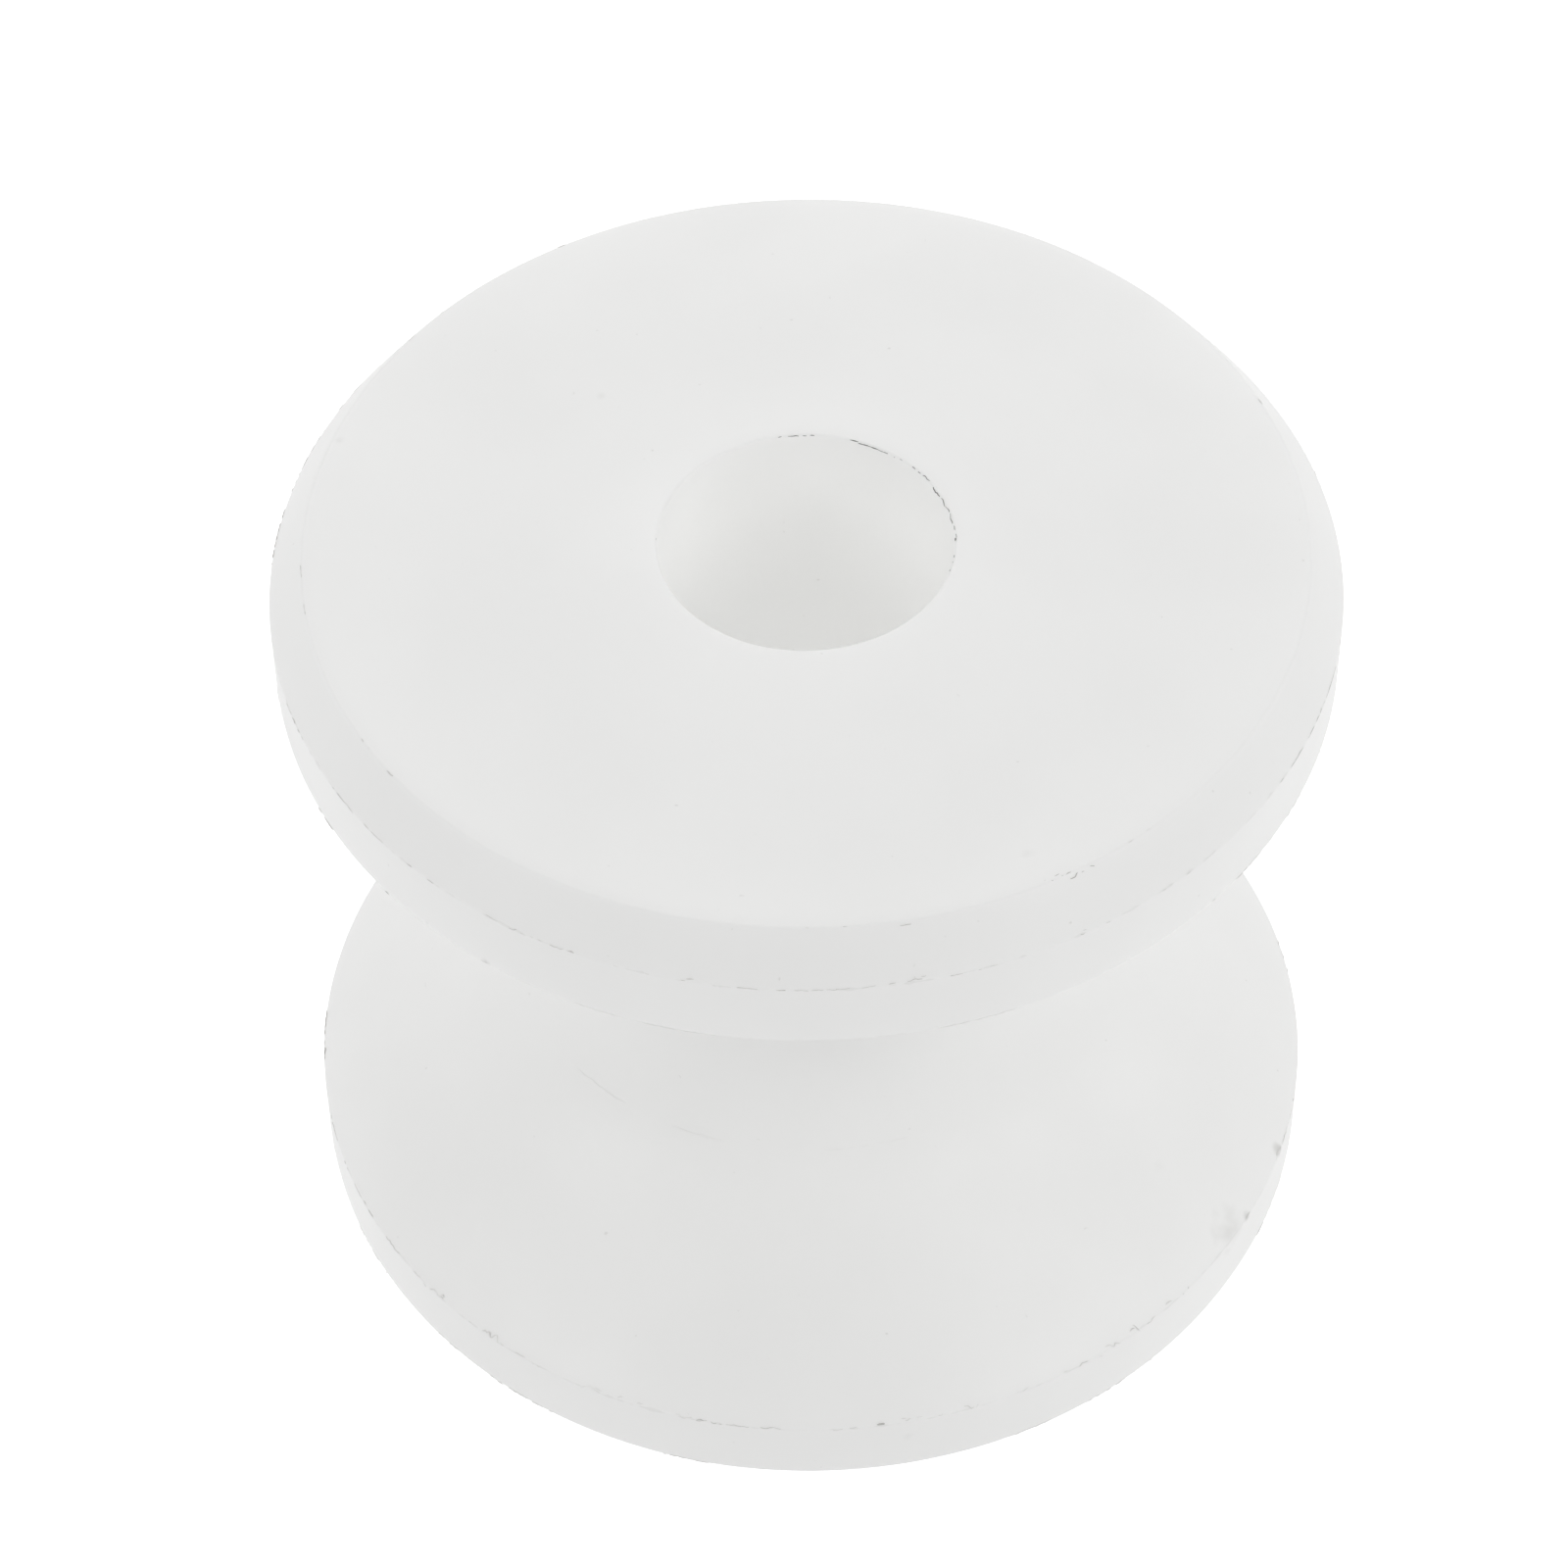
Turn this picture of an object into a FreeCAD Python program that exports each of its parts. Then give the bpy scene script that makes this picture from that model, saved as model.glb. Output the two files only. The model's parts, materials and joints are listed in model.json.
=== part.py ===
import FreeCAD, Part
import math
import os
import Sketcher

# Anchor roller wheel, turned in one piece from white nylon bar.
# It turns on an axle pin between the cheeks of a bow roller, and the anchor rode runs in its groove.
# Frame: the bore runs along Z, the origin is on the bore's axis at mid length, and the wheel stands on
# its lower end face. Lengths are in millimetres.

# Each driving size once: its name, its value and what it measures.
driving_sizes = (
    ("rim_diameter", 60.0, "across the lands of both flanges"),
    ("overall_length", 50.0, "from end face to end face"),
    ("bore_diameter", 16.5, "plain through bore for the axle pin"),
    ("chamfer_radial", 2.0, "rim chamfer, measured on the end face"),
    ("chamfer_axial", 2.75, "rim chamfer, measured along the axis"),
    ("land_width", 4.2, "cylindrical band left on each flange's rim"),
    ("waist_diameter", 32.0, "at the bottom of the groove"),
    ("root_radius", 12.0, "of the arc at the bottom of the groove"),
)


def make_sheet(doc):
    """The sheet of driving sizes, one row to a size, that every sketch reads."""
    sheet = doc.addObject("Spreadsheet::Sheet", "sizes")
    for row, (name, value, note) in enumerate(driving_sizes, start=1):
        sheet.set(f"A{row}", name)
        sheet.set(f"B{row}", str(value))
        sheet.setAlias(f"B{row}", name)
        sheet.set(f"C{row}", note)
    doc.recompute()
    return sheet


def sketch_on(body, plane_role, name):
    """A new sketch of the body on one of its own origin planes."""
    planes = [item for item in body.Origin.OriginFeatures if item.Role == plane_role]
    sketch = body.newObject("Sketcher::SketchObject", name)
    sketch.AttachmentSupport = (planes[0], [""])
    sketch.MapMode = "FlatFace"
    return sketch


def add_dimension(sketch, name, formula, kind, *where):
    """A named dimension whose value is a formula on the sheet."""
    index = sketch.addConstraint(Sketcher.Constraint(kind, *where))
    sketch.renameConstraint(index, name)
    sketch.setExpression(f"Constraints.{name}", formula)


def draw_section(sketch, sheet):
    """The wheel's half section, right of the axis and symmetric about mid length.

    It goes round from the axis: end face, chamfer, land, flank, root arc, and back by the mirrored flank,
    land, chamfer and end face. The flanks are tangent to the root arc, so the rode meets no edge.
    """
    end_z = sheet.overall_length / 2
    rim_r = sheet.rim_diameter / 2
    face_r = rim_r - sheet.chamfer_radial
    rim_edge_z = end_z - sheet.chamfer_axial
    mouth_z = rim_edge_z - sheet.land_width
    root_r = sheet.root_radius
    root_centre_r = sheet.waist_diameter / 2 + root_r

    # The flank's angle to the axis, from the tangent that runs from the groove's mouth to the root arc.
    centre_to_mouth = math.hypot(rim_r - root_centre_r, mouth_z)
    flank_angle = math.atan2(rim_r - root_centre_r, mouth_z) + math.asin(root_r / centre_to_mouth)
    tangent_r = root_centre_r - root_r * math.cos(flank_angle)
    tangent_z = root_r * math.sin(flank_angle)

    upper = [(0, end_z), (face_r, end_z), (rim_r, rim_edge_z), (rim_r, mouth_z), (tangent_r, tangent_z)]
    lower = [(r, -z) for r, z in reversed(upper)]

    def line(start, end):
        return Part.LineSegment(FreeCAD.Vector(*start, 0), FreeCAD.Vector(*end, 0))

    root_circle = Part.Circle(FreeCAD.Vector(root_centre_r, 0, 0), FreeCAD.Vector(0, 0, 1), root_r)
    root_arc = Part.ArcOfCircle(root_circle, math.pi - flank_angle, math.pi + flank_angle)
    upper_lines = [line(start, end) for start, end in zip(upper, upper[1:])]
    lower_lines = [line(start, end) for start, end in zip(lower, lower[1:])]
    sketch.addGeometry([*upper_lines, root_arc, *lower_lines, line(lower[-1], upper[0])], False)

    upper_face, upper_chamfer, upper_land, upper_flank, root = range(5)
    lower_flank, lower_land, lower_chamfer, lower_face, axis_line = range(5, 10)
    start, end, centre = 1, 2, 3
    horizontal_axis, vertical_axis, origin = -1, -2, (-1, 1)

    straight_run = [upper_face, upper_chamfer, upper_land, upper_flank]
    straight_return = [lower_flank, lower_land, lower_chamfer, lower_face, axis_line, upper_face]
    for run in (straight_run, straight_return):
        for first, second in zip(run, run[1:]):
            sketch.addConstraint(Sketcher.Constraint("Coincident", first, end, second, start))
    sketch.addConstraint(Sketcher.Constraint("Tangent", upper_flank, end, root, start))
    sketch.addConstraint(Sketcher.Constraint("Tangent", root, end, lower_flank, start))

    sketch.addConstraint(Sketcher.Constraint("Horizontal", upper_face))
    sketch.addConstraint(Sketcher.Constraint("Horizontal", lower_face))
    sketch.addConstraint(Sketcher.Constraint("Vertical", upper_land))
    sketch.addConstraint(Sketcher.Constraint("PointOnObject", axis_line, start, vertical_axis))
    sketch.addConstraint(Sketcher.Constraint("PointOnObject", axis_line, end, vertical_axis))
    sketch.addConstraint(Sketcher.Constraint("PointOnObject", root, centre, horizontal_axis))
    mirrored_pairs = (
        (upper_face, end, lower_face, start),
        (upper_chamfer, end, lower_chamfer, start),
        (upper_land, end, lower_land, start),
    )
    for pair in mirrored_pairs:
        sketch.addConstraint(Sketcher.Constraint("Symmetric", *pair, horizontal_axis))

    add_dimension(sketch, "overall_length", "sizes.overall_length",
                  "DistanceY", lower_face, start, upper_face, end, 2 * end_z)
    add_dimension(sketch, "rim_radius", "sizes.rim_diameter / 2",
                  "DistanceX", *origin, upper_chamfer, end, rim_r)
    add_dimension(sketch, "chamfer_radial", "sizes.chamfer_radial",
                  "DistanceX", upper_face, end, upper_chamfer, end, rim_r - face_r)
    add_dimension(sketch, "chamfer_axial", "sizes.chamfer_axial",
                  "DistanceY", upper_chamfer, end, upper_face, end, end_z - rim_edge_z)
    add_dimension(sketch, "land_width", "sizes.land_width",
                  "DistanceY", upper_land, end, upper_land, start, rim_edge_z - mouth_z)
    add_dimension(sketch, "root_radius", "sizes.root_radius",
                  "Radius", root, root_r)
    add_dimension(sketch, "root_centre", "sizes.waist_diameter / 2 + sizes.root_radius",
                  "DistanceX", *origin, root, centre, root_centre_r)


def turn_wheel(body, sheet):
    """The grooved wheel without its bore: the half section turned about the axis."""
    section = sketch_on(body, "XZ_Plane", "wheel_section")
    draw_section(section, sheet)
    wheel = body.newObject("PartDesign::Revolution", "turned_wheel")
    wheel.Profile = section
    wheel.ReferenceAxis = (section, ["V_Axis"])
    wheel.Angle = 360
    body.Document.recompute()
    return wheel


def drill_bore(body, sheet):
    """The axle bore, straight through both end faces."""
    circle_sketch = sketch_on(body, "XY_Plane", "bore_circle")
    bore_r = sheet.bore_diameter / 2
    circle_sketch.addGeometry(Part.Circle(FreeCAD.Vector(0, 0, 0), FreeCAD.Vector(0, 0, 1), bore_r), False)
    circle_sketch.addConstraint(Sketcher.Constraint("Coincident", 0, 3, -1, 1))
    add_dimension(circle_sketch, "bore_diameter", "sizes.bore_diameter", "Diameter", 0, 2 * bore_r)
    bore = body.newObject("PartDesign::Pocket", "axle_bore")
    bore.Profile = circle_sketch
    bore.Type = "ThroughAll"
    bore.Midplane = True
    body.Document.recompute()
    return bore


def check_document(doc):
    """Stops if any object of the document failed to compute."""
    for item in doc.Objects:
        if {"Invalid", "Error"} & set(item.State):
            raise RuntimeError(f"{item.Name} failed: {item.State}")


def check_sketch(sketch):
    """Stops if a sketch is over constrained or still free to move."""
    if sketch.solve() != 0 or not sketch.FullyConstrained:
        raise RuntimeError(f"{sketch.Name} isn't fully constrained")


def check_bore(wheel, bore, sheet):
    """Stops unless the bore took exactly its own cylinder out of the wheel."""
    removed = wheel.Shape.Volume - bore.Shape.Volume
    cylinder = math.pi * (sheet.bore_diameter / 2) ** 2 * sheet.overall_length
    if not math.isclose(removed, cylinder, rel_tol=1e-6):
        raise RuntimeError(f"the bore removed {removed:.3f} mm3 in place of {cylinder:.3f} mm3")


doc = FreeCAD.newDocument("anchor_roller_wheel")
sheet = make_sheet(doc)
body = doc.addObject("PartDesign::Body", "roller_wheel")
body.Label = "roller_wheel"
body.Placement = FreeCAD.Placement()
wheel = turn_wheel(body, sheet)
bore = drill_bore(body, sheet)
body.Tip = bore
doc.recompute()

check_document(doc)
check_sketch(doc.wheel_section)
check_sketch(doc.bore_circle)
check_bore(wheel, bore, sheet)
shape = body.Shape
if shape.isNull() or not shape.isValid() or len(shape.Solids) != 1:
    raise RuntimeError("the wheel isn't one valid solid")

os.makedirs("parts", exist_ok=True)
shape.exportStep(f"parts/{body.Label}.step")
box = shape.BoundBox
print(f"{body.Label}: {box.XLength:.3f} x {box.YLength:.3f} x {box.ZLength:.3f} mm, {shape.Volume:.1f} mm3")
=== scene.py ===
import json
import math
import random

import bmesh
import bpy
from mathutils import Matrix, Vector, noise

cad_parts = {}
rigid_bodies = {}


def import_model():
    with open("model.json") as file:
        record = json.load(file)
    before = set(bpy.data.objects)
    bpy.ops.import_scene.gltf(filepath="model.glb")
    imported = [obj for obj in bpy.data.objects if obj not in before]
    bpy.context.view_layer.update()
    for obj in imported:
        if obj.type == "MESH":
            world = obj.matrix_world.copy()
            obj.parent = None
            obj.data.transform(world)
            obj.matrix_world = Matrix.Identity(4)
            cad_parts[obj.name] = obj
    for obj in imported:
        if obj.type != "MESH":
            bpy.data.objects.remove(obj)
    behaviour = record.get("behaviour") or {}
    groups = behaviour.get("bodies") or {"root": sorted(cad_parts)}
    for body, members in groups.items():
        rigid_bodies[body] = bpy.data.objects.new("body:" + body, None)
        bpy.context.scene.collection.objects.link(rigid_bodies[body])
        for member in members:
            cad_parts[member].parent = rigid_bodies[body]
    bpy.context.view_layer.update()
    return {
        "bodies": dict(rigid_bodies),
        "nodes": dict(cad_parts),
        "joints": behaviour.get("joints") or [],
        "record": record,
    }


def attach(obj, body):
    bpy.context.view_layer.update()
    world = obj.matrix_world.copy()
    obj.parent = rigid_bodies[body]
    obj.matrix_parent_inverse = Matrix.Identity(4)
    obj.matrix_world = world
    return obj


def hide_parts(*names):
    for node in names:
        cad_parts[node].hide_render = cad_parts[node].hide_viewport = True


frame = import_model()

mm = 0.001
scene = bpy.context.scene
print("frame loaded:", ", ".join(frame["nodes"]))


# small tools

def hexColour(text):   # sRGB hex to the linear colour that the shaders want
    channels = [int(text[i:i + 2], 16) / 255 for i in (0, 2, 4)]
    return [c / 12.92 if c <= 0.04045 else ((c + 0.055) / 1.055) ** 2.4 for c in channels] + [1.0]


def addNode(tree, kind, sockets=None, **settings):   # a node with its settings, and its sockets set or linked
    node = tree.nodes.new(kind)
    for setting, value in settings.items():
        setattr(node, setting, value)
    for socket, value in (sockets or {}).items():
        if isinstance(value, bpy.types.NodeSocket):
            tree.links.new(value, node.inputs[socket])
        else:
            node.inputs[socket].default_value = value
    return node


def newMaterial(name):
    material = bpy.data.materials.new(name)
    material.use_nodes = True
    material.node_tree.nodes.clear()
    return material, material.node_tree


def newPiece(name, mesh, material=None):
    if material:
        mesh.materials.append(material)
    piece = bpy.data.objects.new(name, mesh)
    scene.collection.objects.link(piece)
    return piece


# turned natural nylon: a milky white plastic with a soft satin face, which lets light in a few millimetres deep,
# so that its shadows are pale and its edges glow a little; the lathe leaves fine rings, and handling leaves scuffs

nylonFinish = {
    "body": "F3F3F2",          # clean turned surface
    "cloud": "F2F2F1",         # faint clouds in the milky plastic
    "grimeAndShade": "B9B8B4",         # dirt in specks and smudges, and a darker line along the rim's sharp edges, partly dirt and partly painted shade of the burrs' gaps
    "lightDepthMm": 5.0,       # how far light travels in the plastic
    "milkiness": 0.35,         # share of the light that goes in, the rest comes back from the turned skin
    "gloss": 0.25,             # the turned skin is dull, with half the mirror of a polished one
    "bendsLight": 1.53,        # nylon's index of refraction
    "cloudMm": 9.0,            # size of a cloud
    "ringMm": 0.45,            # spacing of the turning rings; the real feed of 0.15 mm is too fine to show
    "grainMm": 0.35,           # fine torn grain of cut nylon, drawn coarser than the real 0.1 mm
    "chatterMm": 0.8,          # spacing of the tool's chatter marks, at the radius below
    "chatterRadiusMm": 24.0,
    "halvesApartMm": 137.0,    # how far apart in the patterns the upper and the lower half are
    "cloudFrom": 0.38,         # noise levels at which a cloud starts and is full
    "cloudFull": 0.62,
    "speckFrom": 0.87,         # the same for the grain's specks, and how much grime a speck holds
    "speckFull": 0.93,
    "speckGrime": 0.25,
    "frayPerMm": 1.1,          # the ragged outline of the dirt and of the painted edge shade: its fineness, levels, width and strength
    "frayFrom": 0.50,
    "frayFull": 0.80,
    "frayWideMm": 0.16,
    "edgeGrimeAndShade": 0.14,
    "smudgeRagged": 1.6,       # shares of a smudge's radius: how ragged it is, and where it starts to fade and ends
    "smudgeFades": 0.6,
    "smudgeEnds": 1.9,
    "chatterFades": 0.4,       # share of a chatter patch's radius where it starts to fade
    "ringHighMm": 0.006,       # heights of the relief
    "grainHighMm": 0.004,
    "chatterHighMm": 0.003,
    "reliefShown": 0.6,
    "satin": (0.34, 0.46),     # roughness between the clouds and in them, and the noise levels that bound it
    "satinFrom": 0.3,
    "satinFull": 0.7,
    "chatterSpots": [          # centre and radius of the patches that show it, mm
        ((12.6, -20.5, -12.6), 5.0), ((-12.0, 21.0, 12.0), 7.0),
    ],
    "smudges": [               # centre, radius and strength, mm
        ((24.9, -16.2, -17.7), 1.6, 0.24), ((26.0, -15.0, -18.1), 0.45, 0.5), ((28.1, -10.1, -18.0), 0.55, 0.85),
        ((20.3, -14.4, -13.7), 0.6, 0.08), ((11.5, -23.0, 25.0), 0.4, 0.10), ((-17.3, -24.5, 18.2), 0.35, 0.4),
        ((-26.3, 8.2, 25.0), 0.35, 0.14), ((-11.6, 11.6, 25.0), 0.4, 0.12), ((5.4, -29.5, -19.6), 0.5, 0.14),
    ],
}


def makeNylon(finish, corners):
    material, tree = newMaterial("turned nylon")
    place = addNode(tree, "ShaderNodeTexCoord").outputs["Object"]
    placeMm = addNode(tree, "ShaderNodeVectorMath", {0: place, "Scale": 1 / mm}, operation="SCALE").outputs[0]
    x, y, z = addNode(tree, "ShaderNodeSeparateXYZ", {0: placeMm}).outputs
    section = addNode(tree, "ShaderNodeAttribute", attribute_name="sectionMm").outputs["Fac"]

    # upper and lower half get patterns of their own
    upperHalf = addNode(tree, "ShaderNodeMath", {0: z, 1: 0.0}, operation="GREATER_THAN").outputs[0]
    alongRow = addNode(tree, "ShaderNodeMath", {0: upperHalf, 1: finish["halvesApartMm"], 2: section},
                       operation="MULTIPLY_ADD").outputs[0]

    # turning rings: random along the section, the same all the way round
    rings = addNode(tree, "ShaderNodeTexNoise", {"W": alongRow, "Scale": 1 / finish["ringMm"], "Detail": 1.0},
                    noise_dimensions="1D").outputs[0]

    # torn grain
    grain = addNode(tree, "ShaderNodeTexNoise",
                    {"Vector": placeMm, "Scale": 1 / finish["grainMm"], "Detail": 0.0}).outputs[0]

    # chatter: even marks across the tool's path, a whole number of them in a turn, in patches
    around = addNode(tree, "ShaderNodeMath", {0: x, 1: y}, operation="ARCTAN2").outputs[0]
    marks = round(2 * math.pi * finish["chatterRadiusMm"] / finish["chatterMm"])
    turned = addNode(tree, "ShaderNodeMath", {0: around, 1: float(marks), 2: section},
                     operation="MULTIPLY_ADD").outputs[0]
    chatter = addNode(tree, "ShaderNodeMath", {0: turned}, operation="SINE").outputs[0]
    patch = None
    for centre, radius in finish["chatterSpots"]:
        away = addNode(tree, "ShaderNodeVectorMath", {0: placeMm, 1: centre}, operation="DISTANCE").outputs["Value"]
        near = addNode(tree, "ShaderNodeMapRange",
                       {0: away, 1: radius * finish["chatterFades"], 2: radius, 3: 1.0, 4: 0.0},
                       interpolation_type="SMOOTHSTEP").outputs[0]
        if patch is None:
            patch = near
        else:
            patch = addNode(tree, "ShaderNodeMath", {0: patch, 1: near}, operation="MAXIMUM").outputs[0]
    chatterHere = addNode(tree, "ShaderNodeMath", {0: chatter, 1: patch}, operation="MULTIPLY").outputs[0]

    # clouds
    clouds = addNode(tree, "ShaderNodeTexNoise", {"Vector": placeMm, "Scale": 1 / finish["cloudMm"], "Detail": 1.0,
                                                  "Roughness": 0.6}).outputs[0]
    cloudAmount = addNode(tree, "ShaderNodeMapRange",
                          {0: clouds, 1: finish["cloudFrom"], 2: finish["cloudFull"], 3: 0.0, 4: 1.0}).outputs[0]
    body = addNode(tree, "ShaderNodeMix",
                   {0: cloudAmount, 6: hexColour(finish["body"]), 7: hexColour(finish["cloud"])},
                   data_type="RGBA").outputs[2]

    # grime and painted shade: rare dirt specks, a few dirt smudges, and a faint ragged darker line along the rim's
    # sharp edges, partly dirt and partly painted shade of the burrs' gaps
    fray = addNode(tree, "ShaderNodeTexNoise",
                   {"Vector": placeMm, "Scale": finish["frayPerMm"], "Detail": 1.0}).outputs[0]
    grimeAndShadeAmount = addNode(tree, "ShaderNodeMapRange", {
        0: grain, 1: finish["speckFrom"], 2: finish["speckFull"], 3: 0.0, 4: finish["speckGrime"],
    }).outputs[0]
    frayWide = addNode(tree, "ShaderNodeMapRange", {
        0: fray, 1: finish["frayFrom"], 2: finish["frayFull"], 3: 0.0, 4: finish["frayWideMm"],
    }).outputs[0]
    # the darker line along the groove and rim edges is partly dirt and partly painted shade where the burrs leave
    # gaps
    for corner in corners:
        near = addNode(tree, "ShaderNodeMath", {0: section, 1: corner, 2: frayWide}, operation="COMPARE").outputs[0]
        grimeAndShadeAmount = addNode(tree, "ShaderNodeMath", {0: near, 1: finish["edgeGrimeAndShade"], 2: grimeAndShadeAmount},
                              operation="MULTIPLY_ADD").outputs[0]
    for centre, radius, strength in finish["smudges"]:
        away = addNode(tree, "ShaderNodeVectorMath", {0: placeMm, 1: centre}, operation="DISTANCE").outputs["Value"]
        ragged = addNode(tree, "ShaderNodeMath", {0: fray, 1: radius * finish["smudgeRagged"], 2: away},
                         operation="MULTIPLY_ADD").outputs[0]
        soft = addNode(tree, "ShaderNodeMapRange", {
            0: ragged, 1: radius * finish["smudgeFades"], 2: radius * finish["smudgeEnds"], 3: strength, 4: 0.0,
        }, interpolation_type="SMOOTHSTEP").outputs[0]
        grimeAndShadeAmount = addNode(tree, "ShaderNodeMath", {0: grimeAndShadeAmount, 1: soft}, operation="ADD").outputs[0]
    colour = addNode(tree, "ShaderNodeMix", {0: grimeAndShadeAmount, 6: body, 7: hexColour(finish["grimeAndShade"])},
                     data_type="RGBA").outputs[2]

    # relief: rings, grain and chatter added up, in millimetres
    relief = addNode(tree, "ShaderNodeMath", {0: rings, 1: finish["ringHighMm"]}, operation="MULTIPLY").outputs[0]
    for pattern, height in ((grain, finish["grainHighMm"]), (chatterHere, finish["chatterHighMm"])):
        relief = addNode(tree, "ShaderNodeMath", {0: pattern, 1: height, 2: relief},
                         operation="MULTIPLY_ADD").outputs[0]
    bump = addNode(tree, "ShaderNodeBump",
                   {"Height": relief, "Distance": mm, "Strength": finish["reliefShown"]}).outputs[0]

    satin = addNode(tree, "ShaderNodeMapRange", {
        0: clouds, 1: finish["satinFrom"], 2: finish["satinFull"], 3: finish["satin"][0], 4: finish["satin"][1],
    }).outputs[0]
    shader = addNode(tree, "ShaderNodeBsdfPrincipled", {
        "Base Color": colour, "Roughness": satin, "IOR": finish["bendsLight"],
        "Specular IOR Level": finish["gloss"], "Normal": bump,
        "Subsurface Weight": finish["milkiness"], "Subsurface Radius": (1.0, 1.0, 1.0),
        "Subsurface Scale": finish["lightDepthMm"] * mm,
    })
    addNode(tree, "ShaderNodeOutputMaterial", {0: shader.outputs[0]})
    return material


# the wheel: its half section is drawn once and spun round the bore's axis

wheelShape = {
    "rimRadius": 30.0,
    "halfLength": 25.0,
    "boreRadius": 8.25,
    "chamferRadial": 2.0,
    "chamferAxial": 2.75,
    "landWidth": 4.2,
    "waistRadius": 16.0,
    "rootRadius": 12.0,
    "rootSteps": 28,           # edges along the arc at the bottom of the groove
    "rowMm": 0.8,              # rows of the mesh along the straight runs
    "edgeRound": 0.12,         # the turned edges are crisp, just broken by a touch of the knife
    "mouthRound": 0.18,        # the bore's mouth a little more
    "roundSteps": 3,           # faces across a broken edge, and its fullness: a true arc
    "roundFullness": 0.5,
    "waveMm": 0.05,            # the soft plastic springs off the tool, so no surface is quite true
    "waveMean": 0.5,           # shares of it: the mean, and the swing of the slow and of the quick waves
    "slowSwing": 0.38,
    "quickSwing": 0.12,
    "slowPerMm": 0.09,         # how many waves there are to a millimetre
    "quickPerMm": 0.35,
    "toolLineShare": 0.572,    # height of the line where the tool was last set in, in root radii
    "joinMm": 0.0005,          # points closer than this are one
    "matchMm": 0.01,           # an edge this close to a corner is that corner's ring
    "turnSteps": 448,
}


def sectionCorners(shape):   # (r, z) of the upper half, from the groove's bottom outwards and in to the bore
    mouth = shape["halfLength"] - shape["chamferAxial"] - shape["landWidth"]
    centre = shape["waistRadius"] + shape["rootRadius"]
    reach = math.hypot(shape["rimRadius"] - centre, mouth)
    flank = math.atan2(shape["rimRadius"] - centre, mouth) + math.asin(shape["rootRadius"] / reach)
    tangent = (centre - shape["rootRadius"] * math.cos(flank), shape["rootRadius"] * math.sin(flank))
    corners = [
        tangent,
        (shape["rimRadius"], mouth),
        (shape["rimRadius"], shape["halfLength"] - shape["chamferAxial"]),
        (shape["rimRadius"] - shape["chamferRadial"], shape["halfLength"]),
        (shape["boreRadius"], shape["halfLength"]),
        (shape["boreRadius"], 0.0),
    ]
    return corners, centre, flank


def cornerDistances(shape):   # how far along the section, from the groove's bottom, each sharp edge lies
    corners, _, flank = sectionCorners(shape)
    run = shape["rootRadius"] * flank
    found = []
    for (r0, z0), (r1, z1) in zip(corners, corners[1:]):
        run += math.hypot(r1 - r0, z1 - z0)
        found.append(run)
    return found[:-1]


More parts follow.
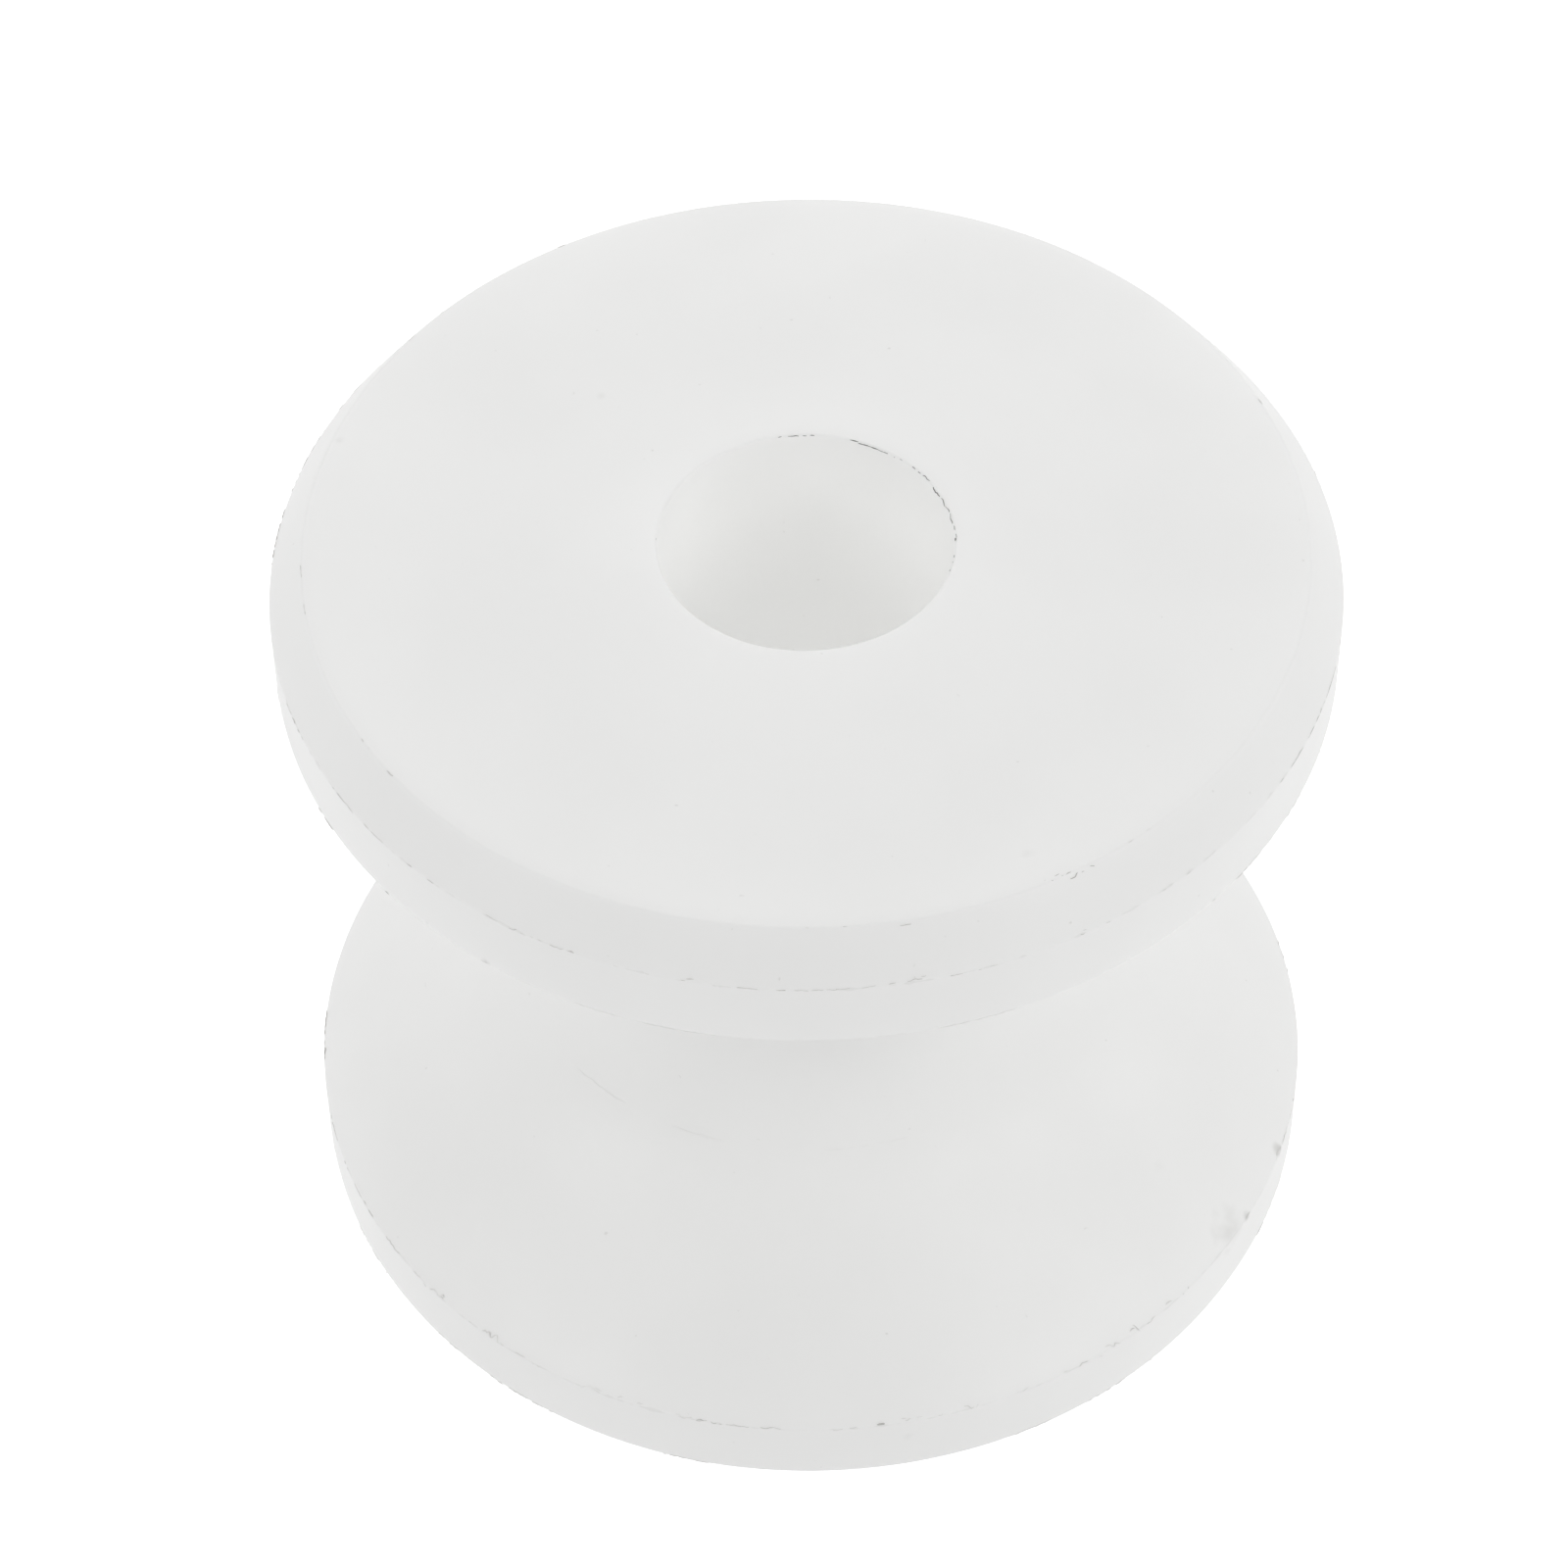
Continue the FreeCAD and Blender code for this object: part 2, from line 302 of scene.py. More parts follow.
def makeWheel(shape, material):
    corners, centre, flank = sectionCorners(shape)
    bm = bmesh.new()
    section = bm.verts.layers.float.new("sectionMm")

    # upper half of the groove's arc, swept by a vertex from the bottom of the groove
    bottom = bm.verts.new((shape["waistRadius"], 0, 0))
    bmesh.ops.spin(bm, geom=[bottom], cent=(centre, 0, 0), axis=(0, 1, 0), angle=flank, steps=shape["rootSteps"] // 2)
    for vert in bm.verts:
        vert.co.z = abs(vert.co.z)
        vert[section] = shape["rootRadius"] * math.asin(min(1, vert.co.z / shape["rootRadius"]))

    # straight runs from the arc's end in to the bore
    bm.verts.ensure_lookup_table()
    last = max(bm.verts, key=lambda vert: vert.co.z)
    distance = last[section]
    runs = []
    for (r0, z0), (r1, z1) in zip(corners, corners[1:]):
        length = math.hypot(r1 - r0, z1 - z0)
        distance += length
        corner = bm.verts.new((r1, 0, z1))
        corner[section] = distance
        runs.append((bm.edges.new((last, corner)), max(2, round(length / shape["rowMm"]) - 1)))
        last = corner
    for edge, cuts in runs:
        bmesh.ops.subdivide_edges(bm, edges=[edge], cuts=cuts)

    # a quarter of the upper half is spun, and mirrored three times into the whole wheel
    bmesh.ops.spin(bm, geom=bm.verts[:] + bm.edges[:], cent=(0, 0, 0), axis=(0, 0, 1), angle=math.pi / 2,
                   steps=shape["turnSteps"] // 4)
    for side in "ZXY":
        bmesh.ops.mirror(bm, geom=bm.verts[:] + bm.edges[:] + bm.faces[:], axis=side, merge_dist=shape["joinMm"])
    bmesh.ops.remove_doubles(bm, verts=bm.verts[:], dist=shape["joinMm"])
    bmesh.ops.recalc_face_normals(bm, faces=bm.faces[:])

    # its sharp edges, broken by a touch of the knife
    for sharp, offset in ((corners[1:4], shape["edgeRound"]), (corners[4:5], shape["mouthRound"])):
        edgeRings = []
        for edge in bm.edges:
            ends = [(math.hypot(v.co.x, v.co.y), abs(v.co.z)) for v in edge.verts]
            if any(all(math.dist(end, corner) < shape["matchMm"] for end in ends) for corner in sharp):
                edgeRings.append(edge)
        bmesh.ops.bevel(bm, geom=edgeRings, offset=offset, offset_type="OFFSET", segments=shape["roundSteps"],
                        profile=shape["roundFullness"], affect="EDGES", material=-1)
    bmesh.ops.recalc_face_normals(bm, faces=bm.faces[:])

    # slow waves, always inwards
    slowStart, quickStart = Vector((3.1, 7.7, 1.3)), Vector((9.2, 0.4, 5.5))
    for vert in bm.verts:
        slow = noise.noise(Vector(vert.co) * shape["slowPerMm"] + slowStart)
        quick = noise.noise(Vector(vert.co) * shape["quickPerMm"] + quickStart)
        sink = shape["waveMm"] * (shape["waveMean"] + shape["slowSwing"] * slow + shape["quickSwing"] * quick)
        vert.co -= vert.normal * max(0.0, sink) if vert.normal.length > 0 else Vector()
    for face in bm.faces:
        face.smooth = True
    bmesh.ops.transform(bm, matrix=Matrix.Scale(mm, 4), verts=bm.verts[:])
    mesh = bpy.data.meshes.new("rollerWheel")
    bm.to_mesh(mesh)
    print("wheel:", len(bm.verts), "vertices,", sum(len(f.verts) - 2 for f in bm.faces), "triangles")
    bm.free()
    return newPiece("rollerWheel", mesh, material)


nylon = makeNylon(nylonFinish, cornerDistances(wheelShape)[:2])
wheel = makeWheel(wheelShape, nylon)
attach(wheel, "root")
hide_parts("roller_wheel")


# burrs: the knife leaves fine threads of nylon along the sharp edges, which curl, tear and gather dust; their grey
# colours are partly that dust and partly painted shade of the gaps under and beside them

burrLook = {
    "rimColours": ("BCBBB8", "E2E1DF"),    # threads on the open edges, rubbed clean in places; their grey is partly dust and partly painted shade
    "knotColours": ("7E7D7A", "ABAAA7"),   # their thick ends and knots, which hold dust, darkened further as painted shade
    "knotFromMm": 0.08,        # thickness from which a thread counts as a knot
    "boreColours": ("4B4A48", "8A8986"),   # threads in the bore's mouth, packed with dust and darkened further as painted shade of the gap along the mouth
    "cleanColours": ("EDEDEC", "F6F6F5"),  # bright ridges where the tool stopped
    "pointMm": 0.08,           # spacing of the points along a thread
    "curlMm": 0.7,             # how often a thread wanders
    "gapMm": 0.35,             # how often it is torn through
    "thinnestMm": 0.008,       # radius below which it is torn through
    "keptInMm": 0.015,         # how far inside the wheel's full size a thread stays
    "slowSwing": 1.3,          # how much of a thread's wander is slow and how much is quick
    "quickSwing": 1.8,
    "quickTimes": 3,           # how many times faster the quick part is
    "endShare": 0.35,          # a thread's thickness at its ends, and how fast and how soon it grows from there
    "taperTimes": 3.0,
    "taperMm": 0.8,
    "sinkShare": 0.29,         # how far a thread lies down on a broken edge, as a share of its rounding
    "patchMm": 1.5,            # size of the patches of darker colour along the threads (dust and painted shade), and the noise levels that bound them
    "patchFrom": 0.4,
    "patchFull": 0.62,
    "dullness": 0.7,
    "fewestSteps": 4,          # the shortest threads have this many steps
    "noiseRows": (0.5, 9.5, 4.5),   # where a thread's slow wander, its quick wander and its tears are read
    "runSalt": 17.3,           # keeps the runs' patterns apart
    "halfSalt": 5.1,
    "hiddenShare": 0.45,       # how much of each edge has a thread where the picture doesn't show it
    "hiddenSpan": (2.0, 12.0),   # the invented threads: degrees along the edge and between two of them
    "hiddenGap": (0.5, 3.0),
    "hiddenThickMm": (0.035, 0.085),
    "hiddenWanderMm": (0.03, 0.10),
    "hiddenSlideMm": (-0.05, 0.08),
    "seed": 11,
}

# how whole a thread is: mean and swing
burrWholeness = {"boreMouth": (0.9, 1.3), "toolLine": (0.9, 0.6), "grooveRidge": (0.8, 0.8)}
rimWholeness = (0.62, 1.6)

# the degrees of each edge for which the runs below are set, the rest is invented; half 1 is the upper flange
shownRange = {
    ("boreMouth", 1): (-160, 195),
    ("faceEdge", 1): (-180, 180),
    ("rimEdge", 1): (-90, 88),
    ("grooveEdge", 1): (-60, 50),
    ("grooveEdge", -1): (-80, 82),
    ("grooveRidge", 1): (-60, 300),
    ("toolLine", -1): (-60, 300),
    ("rimEdge", -1): (0, 0),
    ("boreMouth", -1): (0, 0),
}

# each run: from and to in degrees round the wheel (0 to the front, + to the right), thickness, wander, and how far
# it has slid off the edge towards the groove (+) or the bore (-), all in millimetres
burrRuns = {
    ("boreMouth", 1): [
        (189.0, 190.4, 0.06, 0.02, -0.05), (182.3, 186.5, 0.055, 0.03, -0.05), (179.2, 180.7, 0.06, 0.02, -0.05),
        (176.1, 177.8, 0.085, 0.01, -0.04), (158.5, 162.0, 0.055, 0.01, -0.04), (141.5, 159.0, 0.055, 0.02, -0.14),
        (138.5, 142.0, 0.055, 0.01, -0.05), (131.0, 133.3, 0.085, 0.02, -0.03), (128.4, 130.4, 0.05, 0.03, -0.05),
        (122.4, 127.6, 0.05, 0.12, -0.06), (113.9, 122.6, 0.05, 0.20, -0.12), (106.6, 114.2, 0.055, 0.12, -0.10),
        (104.6, 106.6, 0.10, 0.03, -0.02), (97.7, 104.4, 0.042, 0.10, -0.04), (88.6, 97.7, 0.036, 0.08, 0.0),
        (89.0, 90.6, 0.07, 0.01, 0.0), (79.6, 82.0, 0.04, 0.02, 0.0), (76.4, 78.4, 0.04, 0.02, 0.0),
        (72.6, 74.4, 0.035, 0.02, -0.08), (-93.0, -90.4, 0.02, 0.02, 0.0),
    ],
    ("faceEdge", 1): [
        (-87.0, -84.8, 0.055, 0.03, 0.0), (-80.8, -79.2, 0.065, 0.02, 0.0), (-59.1, -58.4, 0.08, 0.01, 0.0),
        (-57.9, -57.0, 0.035, 0.03, 0.0), (-53.4, -51.4, 0.085, 0.06, 0.0), (25.0, 28.2, 0.12, 0.05, -0.24),
        (27.0, 29.4, 0.08, 0.06, -0.02), (28.6, 32.5, 0.055, 0.08, 0.22), (37.0, 38.0, 0.075, 0.02, 0.0),
        (39.0, 40.4, 0.04, 0.04, -0.05), (9.3, 12.0, 0.034, 0.03, 0.26), (-1.6, 0.4, 0.03, 0.02, 0.0),
        (1.6, 4.2, 0.035, 0.03, 0.0), (-127.0, -125.4, 0.10, 0.03, 0.0), (-132.0, -131.0, 0.05, 0.02, 0.0),
        (-150.2, -149.2, 0.07, 0.03, 0.0), (111.6, 113.0, 0.05, 0.03, 0.0),
    ],
    ("rimEdge", 1): [
        (-72.0, -66.0, 0.03, 0.03, 0.0), (-59.0, -54.6, 0.034, 0.05, 0.0), (-53.0, -49.2, 0.034, 0.04, 0.0),
        (-45.7, -44.9, 0.10, 0.01, 0.0), (-42.6, -41.6, 0.055, 0.03, 0.0), (-37.9, -37.0, 0.11, 0.01, 0.0),
        (-36.6, -33.2, 0.028, 0.07, 0.0), (-32.4, -28.0, 0.035, 0.07, 0.0), (-31.8, -29.0, 0.025, 0.06, 0.10),
        (-27.6, -25.6, 0.05, 0.10, -0.04), (-25.2, -24.4, 0.11, 0.02, -0.03), (-17.6, -15.4, 0.03, 0.03, 0.0),
        (-14.8, -12.4, 0.045, 0.03, -0.02), (-12.8, -11.7, 0.085, 0.03, -0.16), (-9.9, -8.2, 0.046, 0.05, 0.0),
        (-7.5, -3.6, 0.042, 0.04, 0.0), (-3.4, -2.0, 0.055, 0.02, 0.0), (-2.0, 3.0, 0.030, 0.04, -0.03),
        (2.4, 7.6, 0.030, 0.04, -0.06), (7.7, 8.6, 0.065, 0.02, -0.10), (9.2, 12.2, 0.036, 0.05, -0.12),
        (10.0, 12.0, 0.022, 0.05, -0.26), (14.0, 15.6, 0.05, 0.02, 0.0), (16.2, 19.4, 0.021, 0.03, 0.0),
        (24.1, 24.8, 0.045, 0.01, 0.0), (27.6, 30.2, 0.028, 0.08, 0.0), (28.0, 30.0, 0.02, 0.06, -0.12),
        (30.2, 34.4, 0.02, 0.04, 0.0), (35.6, 36.4, 0.04, 0.02, 0.0), (38.4, 40.6, 0.028, 0.06, 0.03),
        (41.8, 42.5, 0.07, 0.01, 0.0), (44.0, 49.0, 0.02, 0.06, 0.0), (57.9, 58.9, 0.035, 0.02, 0.0),
        (60.4, 69.6, 0.048, 0.04, 0.0), (61.8, 63.2, 0.08, 0.02, 0.0), (70.0, 76.0, 0.03, 0.03, 0.0),
    ],
    ("grooveEdge", 1): [
        (-50.0, -49.2, 0.05, 0.02, 0.0), (-35.9, -34.8, 0.06, 0.05, -0.05), (46.2, 46.9, 0.055, 0.02, 0.0),
    ],
    ("grooveRidge", 1): [
        (13.0, 21.5, 0.035, 0.05, 0.05), (-18.0, -9.5, 0.035, 0.04, 0.05), (-24.5, -20.0, 0.03, 0.04, 0.05),
    ],
    ("grooveEdge", -1): [
        (-80.0, -73.0, 0.026, 0.06, 0.0), (-71.0, -68.6, 0.038, 0.06, 0.0), (-67.1, -63.0, 0.055, 0.05, 0.0),
        (-62.8, -61.4, 0.055, 0.03, 0.0), (-58.4, -54.4, 0.028, 0.08, 0.0), (-53.0, -46.8, 0.045, 0.16, 0.0),
        (-47.6, -46.8, 0.06, 0.06, 0.08), (-42.8, -42.0, 0.05, 0.03, 0.06), (-40.6, -38.0, 0.11, 0.19, 0.14),
        (-38.0, -33.0, 0.036, 0.1, 0.05), (-33.0, -30.4, 0.044, 0.14, 0.14), (-28.2, -24.0, 0.018, 0.14, 0.02),
        (-27.4, -24.2, 0.017, 0.1, 0.22), (-22.8, -18.8, 0.022, 0.1, 0.16), (-16.2, -10.8, 0.038, 0.13, 0.04),
        (-13.6, -12.2, 0.085, 0.05, 0.04), (-14.6, -11.6, 0.022, 0.1, 0.22), (-10.8, -7.0, 0.033, 0.05, 0.0),
        (-6.2, -3.6, 0.05, 0.08, 0.03),
        (0.2, 5.4, 0.017, 0.05, 0.02), (6.6, 8.1, 0.13, 0.03, 0.12), (8.0, 10.9, 0.04, 0.1, 0.18),
        (8.8, 10.4, 0.035, 0.08, 0.34), (11.0, 14.8, 0.018, 0.08, 0.14), (16.8, 19.2, 0.044, 0.26, 0.16),
        (20.8, 25.0, 0.019, 0.1, 0.12), (28.8, 29.7, 0.07, 0.06, 0.14), (31.0, 32.6, 0.04, 0.11, 0.04),
        (32.8, 37.0, 0.042, 0.34, 0.10), (39.2, 45.0, 0.052, 0.30, 0.14), (38.5, 39.2, 0.08, 0.08, 0.26),
        (46.6, 48.0, 0.045, 0.16, 0.12), (49.2, 50.2, 0.04, 0.05, 0.0), (59.8, 61.0, 0.08, 0.03, 0.0),
        (63.4, 64.6, 0.035, 0.05, 0.0), (69.4, 71.0, 0.20, 0.06, 0.06), (71.4, 77.4, 0.05, 0.06, 0.0),
        (77.8, 79.0, 0.055, 0.03, 0.0),
    ],
    ("toolLine", -1): [
        (-49.0, -36.0, 0.038, 0.05, 0.0), (-26.6, -16.0, 0.034, 0.04, 0.0), (2.0, 22.0, 0.02, 0.03, 0.0),
    ],
}


def makeBurrMaterial(name, colours, look):
    material, tree = newMaterial(name)
    place = addNode(tree, "ShaderNodeTexCoord").outputs["Object"]
    patches = addNode(tree, "ShaderNodeTexNoise",
                      {"Vector": place, "Scale": 1 / (look["patchMm"] * mm), "Detail": 2.0}).outputs[0]
    amount = addNode(tree, "ShaderNodeMapRange", {0: patches, 1: look["patchFrom"], 2: look["patchFull"]}).outputs[0]
    colour = addNode(tree, "ShaderNodeMix", {0: amount, 6: hexColour(colours[0]), 7: hexColour(colours[1])},
                     data_type="RGBA").outputs[2]
    shader = addNode(tree, "ShaderNodeBsdfPrincipled",
                     {"Base Color": colour, "Roughness": look["dullness"], "IOR": nylonFinish["bendsLight"]})
    addNode(tree, "ShaderNodeOutputMaterial", {0: shader.outputs[0]})
    return material


def edgeFrames(shape):   # each edge as (r, z), the unit directions towards the groove and the bore, and its rounding
    corners, centre, _ = sectionCorners(shape)
    names = ["grooveEdge", "rimEdge", "faceEdge", "boreMouth"]
    frames = {}
    for i, name in enumerate(names, start=1):
        before, here, after = (Vector(corner) for corner in corners[i - 1:i + 2])
        frames[name] = (here, (before - here).normalized(), (after - here).normalized(),
                        shape["mouthRound" if name == "boreMouth" else "edgeRound"])
    frames["grooveRidge"] = frames["grooveEdge"]
    lineZ = shape["toolLineShare"] * shape["rootRadius"]   # on the arc of the groove
    lineR = centre - math.sqrt(shape["rootRadius"] ** 2 - lineZ ** 2)
    along = Vector((lineZ, centre - lineR)).normalized()
    frames["toolLine"] = (Vector((lineR, lineZ)), -along, along, 0.0)
    return frames


def addThread(curve, frame, half, run, look, wholeness, shape, salt):
    start, stop, thick, wander, slide = run
    here, toGroove, toBore, broken = frame
    mean, swing = wholeness
    length = math.radians(stop - start) * here.x
    count = max(look["fewestSteps"], round(length / look["pointMm"]))
    slowRow, quickRow, tornRow = look["noiseRows"]
    bit = []   # points of the present whole bit of the thread
    for i in range(count + 1):
        share = i / count
        angle = math.radians(start + (stop - start) * share)
        step = share * length / look["curlMm"]
        slow = noise.noise(Vector((step, salt, slowRow)))
        quick = noise.noise(Vector((step * look["quickTimes"], salt, quickRow)))
        offset = slide + wander * (look["slowSwing"] * slow + look["quickSwing"] * quick)
        spot = here + (toGroove * offset if offset > 0 else toBore * -offset)
        spot += (toGroove + toBore) * look["sinkShare"] * max(0.0, broken - abs(offset))
        taper = min(1.0, look["endShare"] + look["taperTimes"] * min(share, 1 - share) * length / look["taperMm"])
        whole = mean + swing * noise.noise(Vector((share * length / look["gapMm"], salt, tornRow)))
        radius = thick / 2 * taper * min(1.0, whole)
        if radius > look["thinnestMm"]:
            r = min(spot.x, shape["rimRadius"] - look["keptInMm"] - radius)
            z = min(spot.y, shape["halfLength"] - look["keptInMm"] - radius) * half
            bit.append((r * math.sin(angle) * mm, -r * math.cos(angle) * mm, z * mm, radius * mm))
        if (radius <= look["thinnestMm"] or i == count) and bit:
            if len(bit) > 1:
                spline = curve.splines.new("POLY")
                spline.material_index = int(thick >= look["knotFromMm"])
                spline.points.add(len(bit) - 1)
                for point, (px, py, pz, pointRadius) in zip(spline.points, bit):
                    point.co = (px, py, pz, 1.0)
                    point.radius = pointRadius
            bit = []


def hiddenRuns(chance, look, shownFrom, shownTo):   # threads for the part of an edge that the picture doesn't show
    runs, angle = [], shownTo
    while angle < shownFrom + 360:
        span = chance.uniform(*look["hiddenSpan"])
        if chance.random() < look["hiddenShare"]:
            runs.append((angle, min(angle + span, shownFrom + 360), chance.uniform(*look["hiddenThickMm"]),
                         chance.uniform(*look["hiddenWanderMm"]), chance.uniform(*look["hiddenSlideMm"])))
        angle += span + chance.uniform(*look["hiddenGap"])
    return runs


def makeBurrs(runsByEdge, look, shape, materials):
    chance = random.Random(look["seed"])
    frames = edgeFrames(shape)
    pieces = []
    for (edge, half), (shownFrom, shownTo) in shownRange.items():
        runs = runsByEdge.get((edge, half), []) + hiddenRuns(chance, look, shownFrom, shownTo)
        curve = bpy.data.curves.new("thread", "CURVE")
        curve.dimensions = "3D"
        curve.bevel_depth = 1.0
        curve.bevel_resolution = 1
        curve.use_fill_caps = True
        for number, run in enumerate(runs):
            addThread(curve, frames[edge], half, run, look, burrWholeness.get(edge, rimWholeness), shape,
                      salt=look["runSalt"] * number + look["halfSalt"] * half)
        for material in materials.get(edge, materials["rim"]):
            curve.materials.append(material)
        holder = bpy.data.objects.new("thread", curve)
        scene.collection.objects.link(holder)
        solid = bpy.data.meshes.new_from_object(holder.evaluated_get(bpy.context.evaluated_depsgraph_get()))
        bpy.data.objects.remove(holder)
        solid.name = edge + ("Upper" if half > 0 else "Lower") + "Burrs"
        pieces.append(newPiece(solid.name, solid))
    return pieces


# the threads' grey colours stand partly for dust and partly for painted shade
dustAndShadeThread = makeBurrMaterial("nylon thread with dust and painted shade", burrLook["boreColours"], burrLook)
cleanRidge = makeBurrMaterial("clean nylon ridge", burrLook["cleanColours"], burrLook)
burrMaterials = {   # for the threads and for their knots
    "rim": (makeBurrMaterial("torn nylon thread with dust and painted shade", burrLook["rimColours"], burrLook),
            makeBurrMaterial("nylon thread knot with dust and painted shade", burrLook["knotColours"], burrLook)),
    "boreMouth": (dustAndShadeThread, dustAndShadeThread),
    "toolLine": (cleanRidge, cleanRidge),
    "grooveRidge": (cleanRidge, cleanRidge),
}
burrPieces = makeBurrs(burrRuns, burrLook, wheelShape, burrMaterials)
for piece in burrPieces:
    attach(piece, "root")
print("burrs:", ", ".join(piece.name for piece in burrPieces))


# a plain pale light table to stand on

tableLook = {
    "sideMm": 3000.0,
    "colour": "D2D2D2",
    "glow": 0.898,             # the light that it gives to the wheel
    "seenGlow": 0.80,          # what the camera sees of it, which makes the ground white
    "mirroredGlow": 1.0,       # what gloss and glass see of it
    "dropMm": 0.02,            # just under the wheel's lower face
}


def makeTable(look, floorZ):
    material, tree = newMaterial("pale light table")
    path = addNode(tree, "ShaderNodeLightPath")
    mirrored = addNode(tree, "ShaderNodeMath",
                       {0: path.outputs["Is Glossy Ray"], 1: path.outputs["Is Transmission Ray"]},
                       operation="MAXIMUM").outputs[0]
    level = addNode(tree, "ShaderNodeMix", {0: mirrored, 2: look["glow"], 3: look["mirroredGlow"]}).outputs[0]
    strength = addNode(tree, "ShaderNodeMix",
                       {0: path.outputs["Is Camera Ray"], 2: level, 3: look["seenGlow"]}).outputs[0]
    glow = addNode(tree, "ShaderNodeEmission", {"Color": (1, 1, 1, 1), "Strength": strength})
    matt = addNode(tree, "ShaderNodeBsdfDiffuse", {"Color": hexColour(look["colour"])})
    both = addNode(tree, "ShaderNodeAddShader", {0: glow.outputs[0], 1: matt.outputs[0]})
    surface = addNode(tree, "ShaderNodeMixShader",
                      {0: path.outputs["Is Camera Ray"], 1: glow.outputs[0], 2: both.outputs[0]})
    addNode(tree, "ShaderNodeOutputMaterial", {0: surface.outputs[0]})
    bm = bmesh.new()
    bmesh.ops.create_grid(bm, x_segments=1, y_segments=1, size=look["sideMm"] / 2 * mm)
    bmesh.ops.translate(bm, verts=bm.verts[:], vec=(0, 0, floorZ - look["dropMm"] * mm))
    mesh = bpy.data.meshes.new("lightTable")
    bm.to_mesh(mesh)
    bm.free()
    return newPiece("lightTable", mesh, material)


table = makeTable(tableLook, -wheelShape["halfLength"] * mm)
print("light table under the wheel")


# soft studio light: wide panels round the wheel, and an even pale room

roomLight = {"colour": "FFFFFF", "strength": 0.45, "seenStrength": 1.0}
panels = {   # name: (azimuth from the camera to the right, elevation, distance mm, side mm, watts)
    "frontRightPanel": (60, 38, 700, 400, 1.04),
    "rightPanel": (95, 20, 700, 250, 0.43),
    "backRightPanel": (150, 40, 700, 400, 0.21),
    "backPanel": (180, 30, 700, 400, 0.67),
    "nearBackPanel": (180, 60, 150, 100, 0.0075),
    "backLeftPanel": (-150, 40, 700, 400, 0.19),
    "leftPanel": (-110, 15, 700, 400, 0.43),
    "frontLeftPanel": (-60, 38, 700, 400, 0.93),
}


def makeRoom(light):
    world = bpy.data.worlds.new("paleRoom")
    scene.world = world
    world.use_nodes = True
    tree = world.node_tree
    tree.nodes.clear()
    path = addNode(tree, "ShaderNodeLightPath")
    mirrored = addNode(tree, "ShaderNodeMath",
                       {0: path.outputs["Is Glossy Ray"], 1: path.outputs["Is Transmission Ray"]},
                       operation="MAXIMUM").outputs[0]
    seen = addNode(tree, "ShaderNodeMath", {0: path.outputs["Is Camera Ray"], 1: mirrored},
                   operation="MAXIMUM").outputs[0]
    strength = addNode(tree, "ShaderNodeMix", {0: seen, 2: light["strength"], 3: light["seenStrength"]}).outputs[0]
    room = addNode(tree, "ShaderNodeBackground", {"Color": hexColour(light["colour"]), "Strength": strength})
    addNode(tree, "ShaderNodeOutputWorld", {0: room.outputs[0]})


def makePanel(name, azimuth, elevation, distance, side, watts):
    az, el = math.radians(azimuth), math.radians(elevation)
    place = Vector((math.sin(az) * math.cos(el), -math.cos(az) * math.cos(el), math.sin(el))) * distance * mm
    lamp = bpy.data.lights.new(name, "AREA")
    lamp.shape = "SQUARE"
    lamp.size = side * mm
    lamp.energy = watts
    panel = bpy.data.objects.new(name, lamp)
    panel.location = place
    panel.rotation_euler = (-place).to_track_quat("-Z", "Y").to_euler()
    panel.visible_camera = False
    scene.collection.objects.link(panel)


makeRoom(roomLight)
for panelName, panelValues in panels.items():
    makePanel(panelName, *panelValues)

# small discs in the bore stand for the light that comes up through it from the table and shows on its back wall
boreDisc = {"acrossMm": 8.0, "offAxisMm": 3.5}
boreLights = {   # name: (azimuth of the wall that it shines on, height mm, watts)
    "lowBoreLight": (180, 3.0, 0.000378),
    "highBoreLight": (180, 15.0, 0.000126),
    "mouthBoreLight": (180, 21.0, 0.000156),
    "rightBoreLight": (115, 10.0, 0.000049),
}


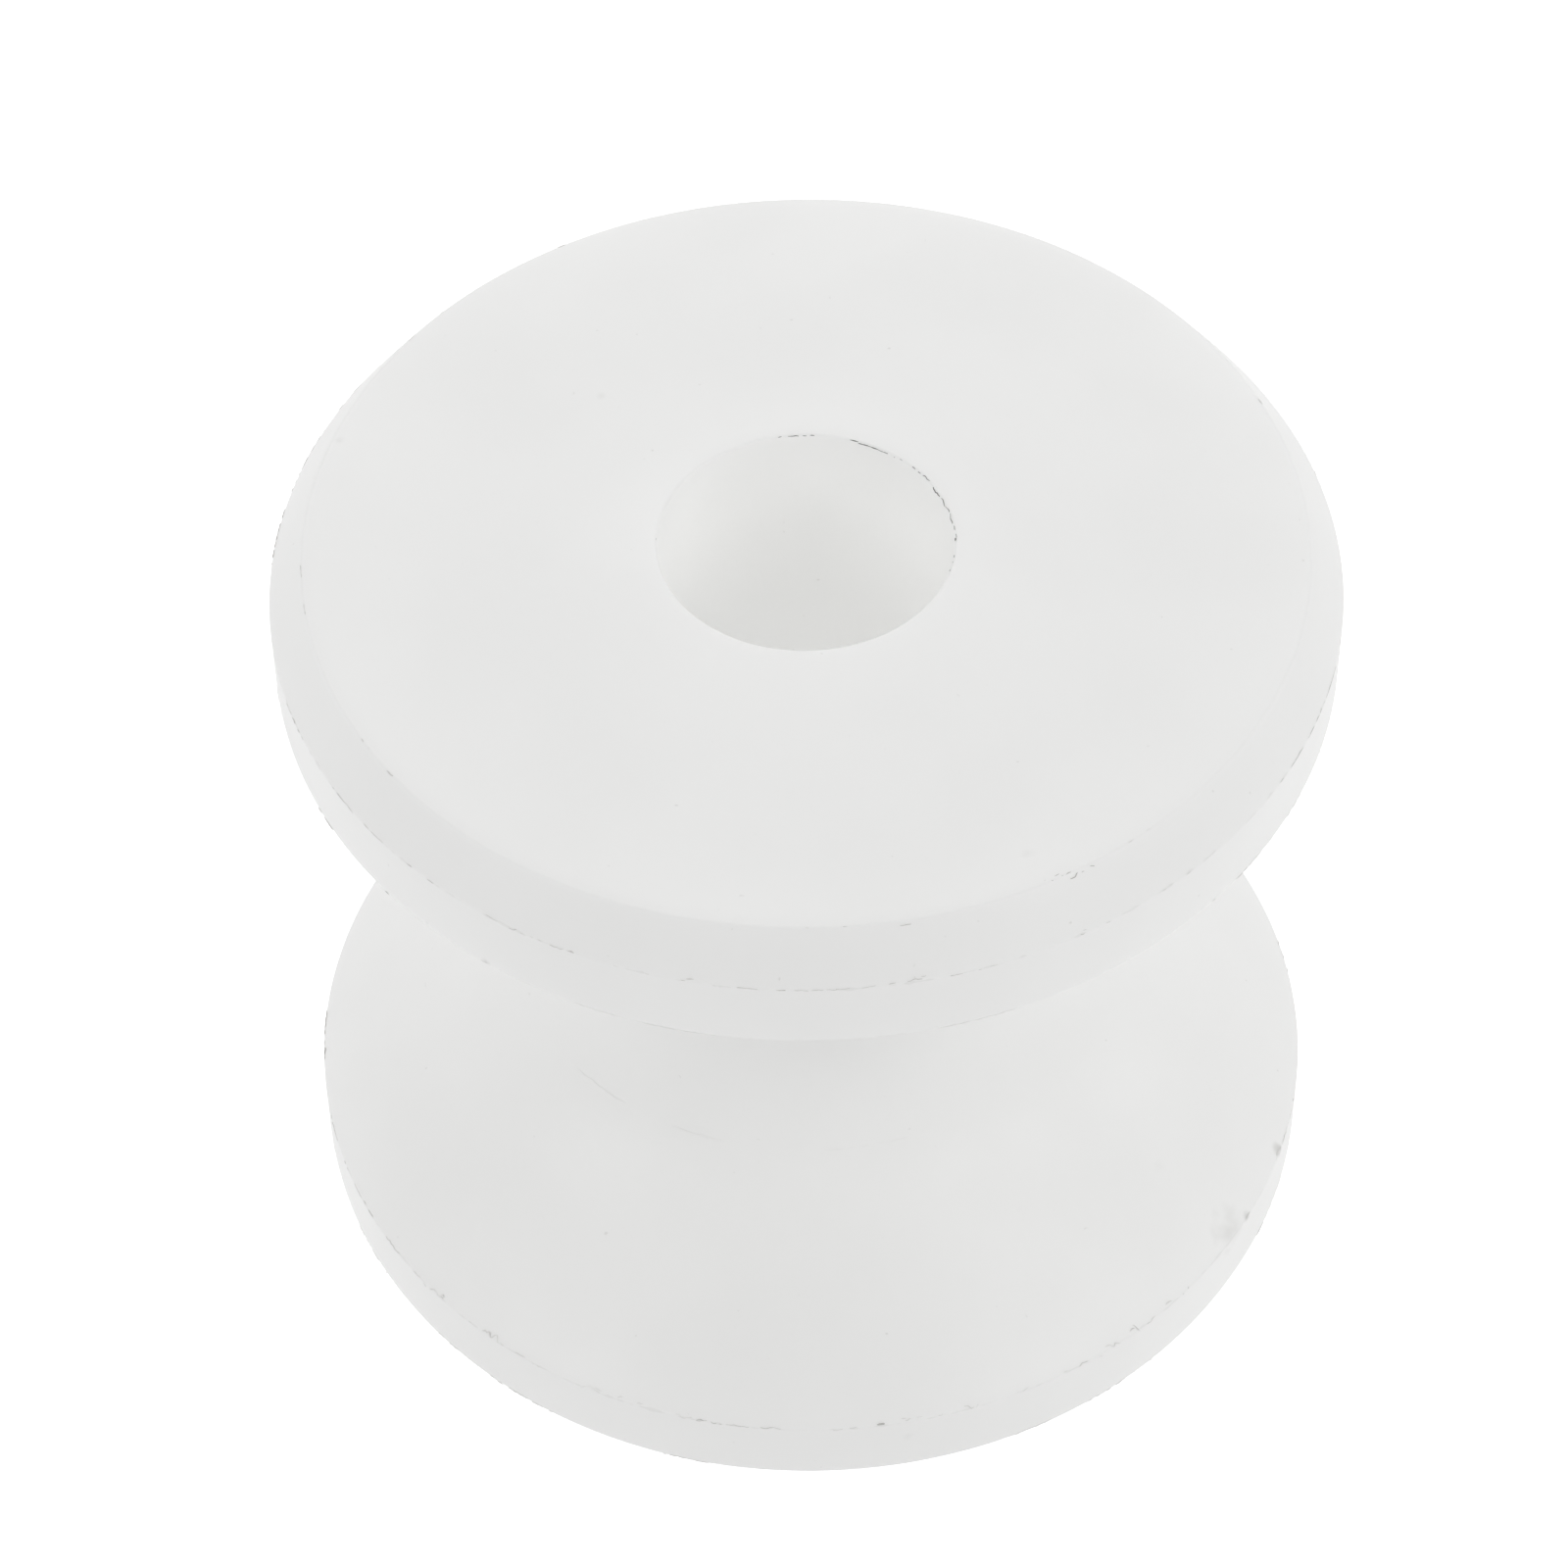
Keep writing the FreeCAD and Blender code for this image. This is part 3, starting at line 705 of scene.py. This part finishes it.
def makeBoreLight(name, azimuth, height, watts):
    az = math.radians(azimuth)
    ahead = Vector((math.sin(az), -math.cos(az), 0))
    lamp = bpy.data.lights.new(name, "AREA")
    lamp.shape = "DISK"
    lamp.size = boreDisc["acrossMm"] * mm
    lamp.energy = watts
    glow = bpy.data.objects.new(name, lamp)
    glow.location = -ahead * boreDisc["offAxisMm"] * mm + Vector((0, 0, height * mm))
    glow.rotation_euler = ahead.to_track_quat("-Z", "Y").to_euler()
    glow.visible_camera = False
    glow.visible_glossy = False
    scene.collection.objects.link(glow)


for lightName, lightValues in boreLights.items():
    makeBoreLight(lightName, *lightValues)
print("light set")


# the camera, worked out from the picture's own geometry, for a frame of 1600 by 1600 pixels

view = {
    "framePx": 1600,
    "focalPx": 5342.0,
    "distanceMm": 309.22,      # from the wheel's centre
    "elevation": 49.189,
    "roll": -0.582,
    "centrePx": (824.57, 851.70),
    "sensorMm": 36.0,
    "nearestM": 0.01,
}


def makeCamera(view):
    elevation, roll = math.radians(view["elevation"]), math.radians(view["roll"])
    back = Vector((0, -math.cos(elevation), math.sin(elevation)))
    right = Vector((1, 0, 0))
    up = back.cross(right)
    half = view["framePx"] / 2
    turnX = math.atan((view["centrePx"][0] - half) / view["focalPx"])
    turnY = math.atan((view["centrePx"][1] - half) / view["focalPx"])
    ahead = -back * math.cos(turnX) - right * math.sin(turnX)
    right = right * math.cos(turnX) - back * math.sin(turnX)
    aheadTilted = ahead * math.cos(turnY) + up * math.sin(turnY)
    up = up * math.cos(turnY) - ahead * math.sin(turnY)
    rightRolled = right * math.cos(roll) + up * math.sin(roll)
    upRolled = up * math.cos(roll) - right * math.sin(roll)
    lens = bpy.data.cameras.new("studioCamera")
    lens.sensor_width = view["sensorMm"]
    lens.lens = view["focalPx"] * view["sensorMm"] / view["framePx"]
    lens.clip_start = view["nearestM"]
    camera = bpy.data.objects.new("studioCamera", lens)
    turn = Matrix((rightRolled, upRolled, -aheadTilted)).transposed().to_4x4()
    camera.matrix_world = Matrix.Translation(back * view["distanceMm"] * mm) @ turn
    scene.collection.objects.link(camera)
    scene.camera = camera


makeCamera(view)
scene.view_settings.view_transform = "Standard"
print("camera set")
